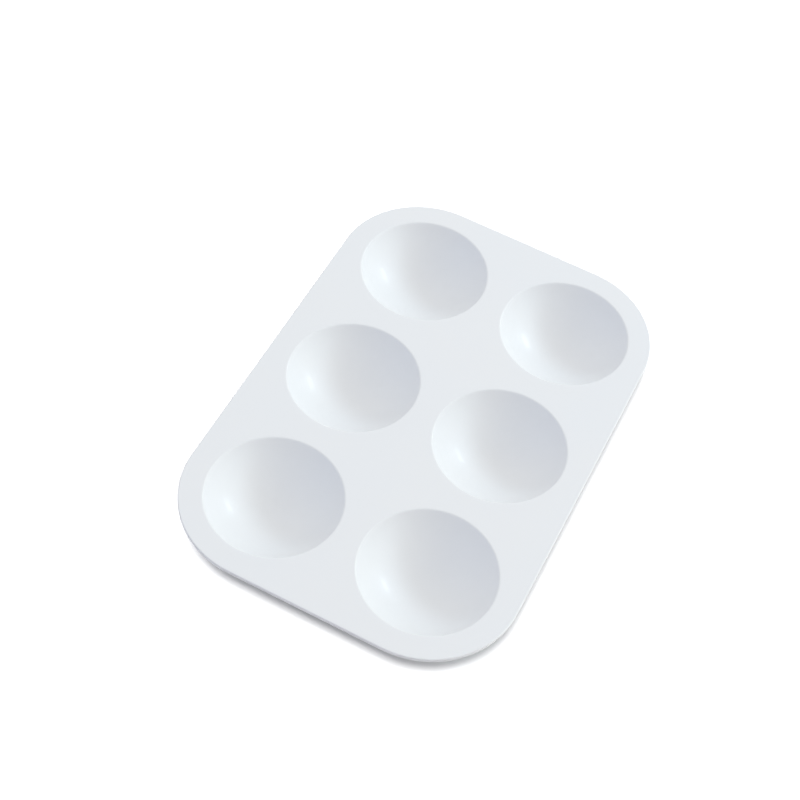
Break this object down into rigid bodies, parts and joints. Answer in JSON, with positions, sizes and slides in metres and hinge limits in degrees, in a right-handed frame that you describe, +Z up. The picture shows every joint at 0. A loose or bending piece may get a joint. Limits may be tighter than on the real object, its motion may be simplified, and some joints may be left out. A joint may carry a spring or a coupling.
{
  "type": "mixing palette",
  "caption": "Rounded rectangular plastic mixing palette with six round bowl-shaped wells in a thin flat deck, standing on the wells.",
  "frame": {"origin": "centre of the footprint, on the surface that the foot pads stand on", "axes": "+X across the tray, +Y along its length, +Z up out of the wells"},
  "size_m": [0.085, 0.125, 0.0104],
  "materials": {
    "white_plastic": "semi-gloss, moulded white polystyrene"
  },
  "bodies": {
    "root": {"palette_tray": "white_plastic"}
  },
  "joints": []
}
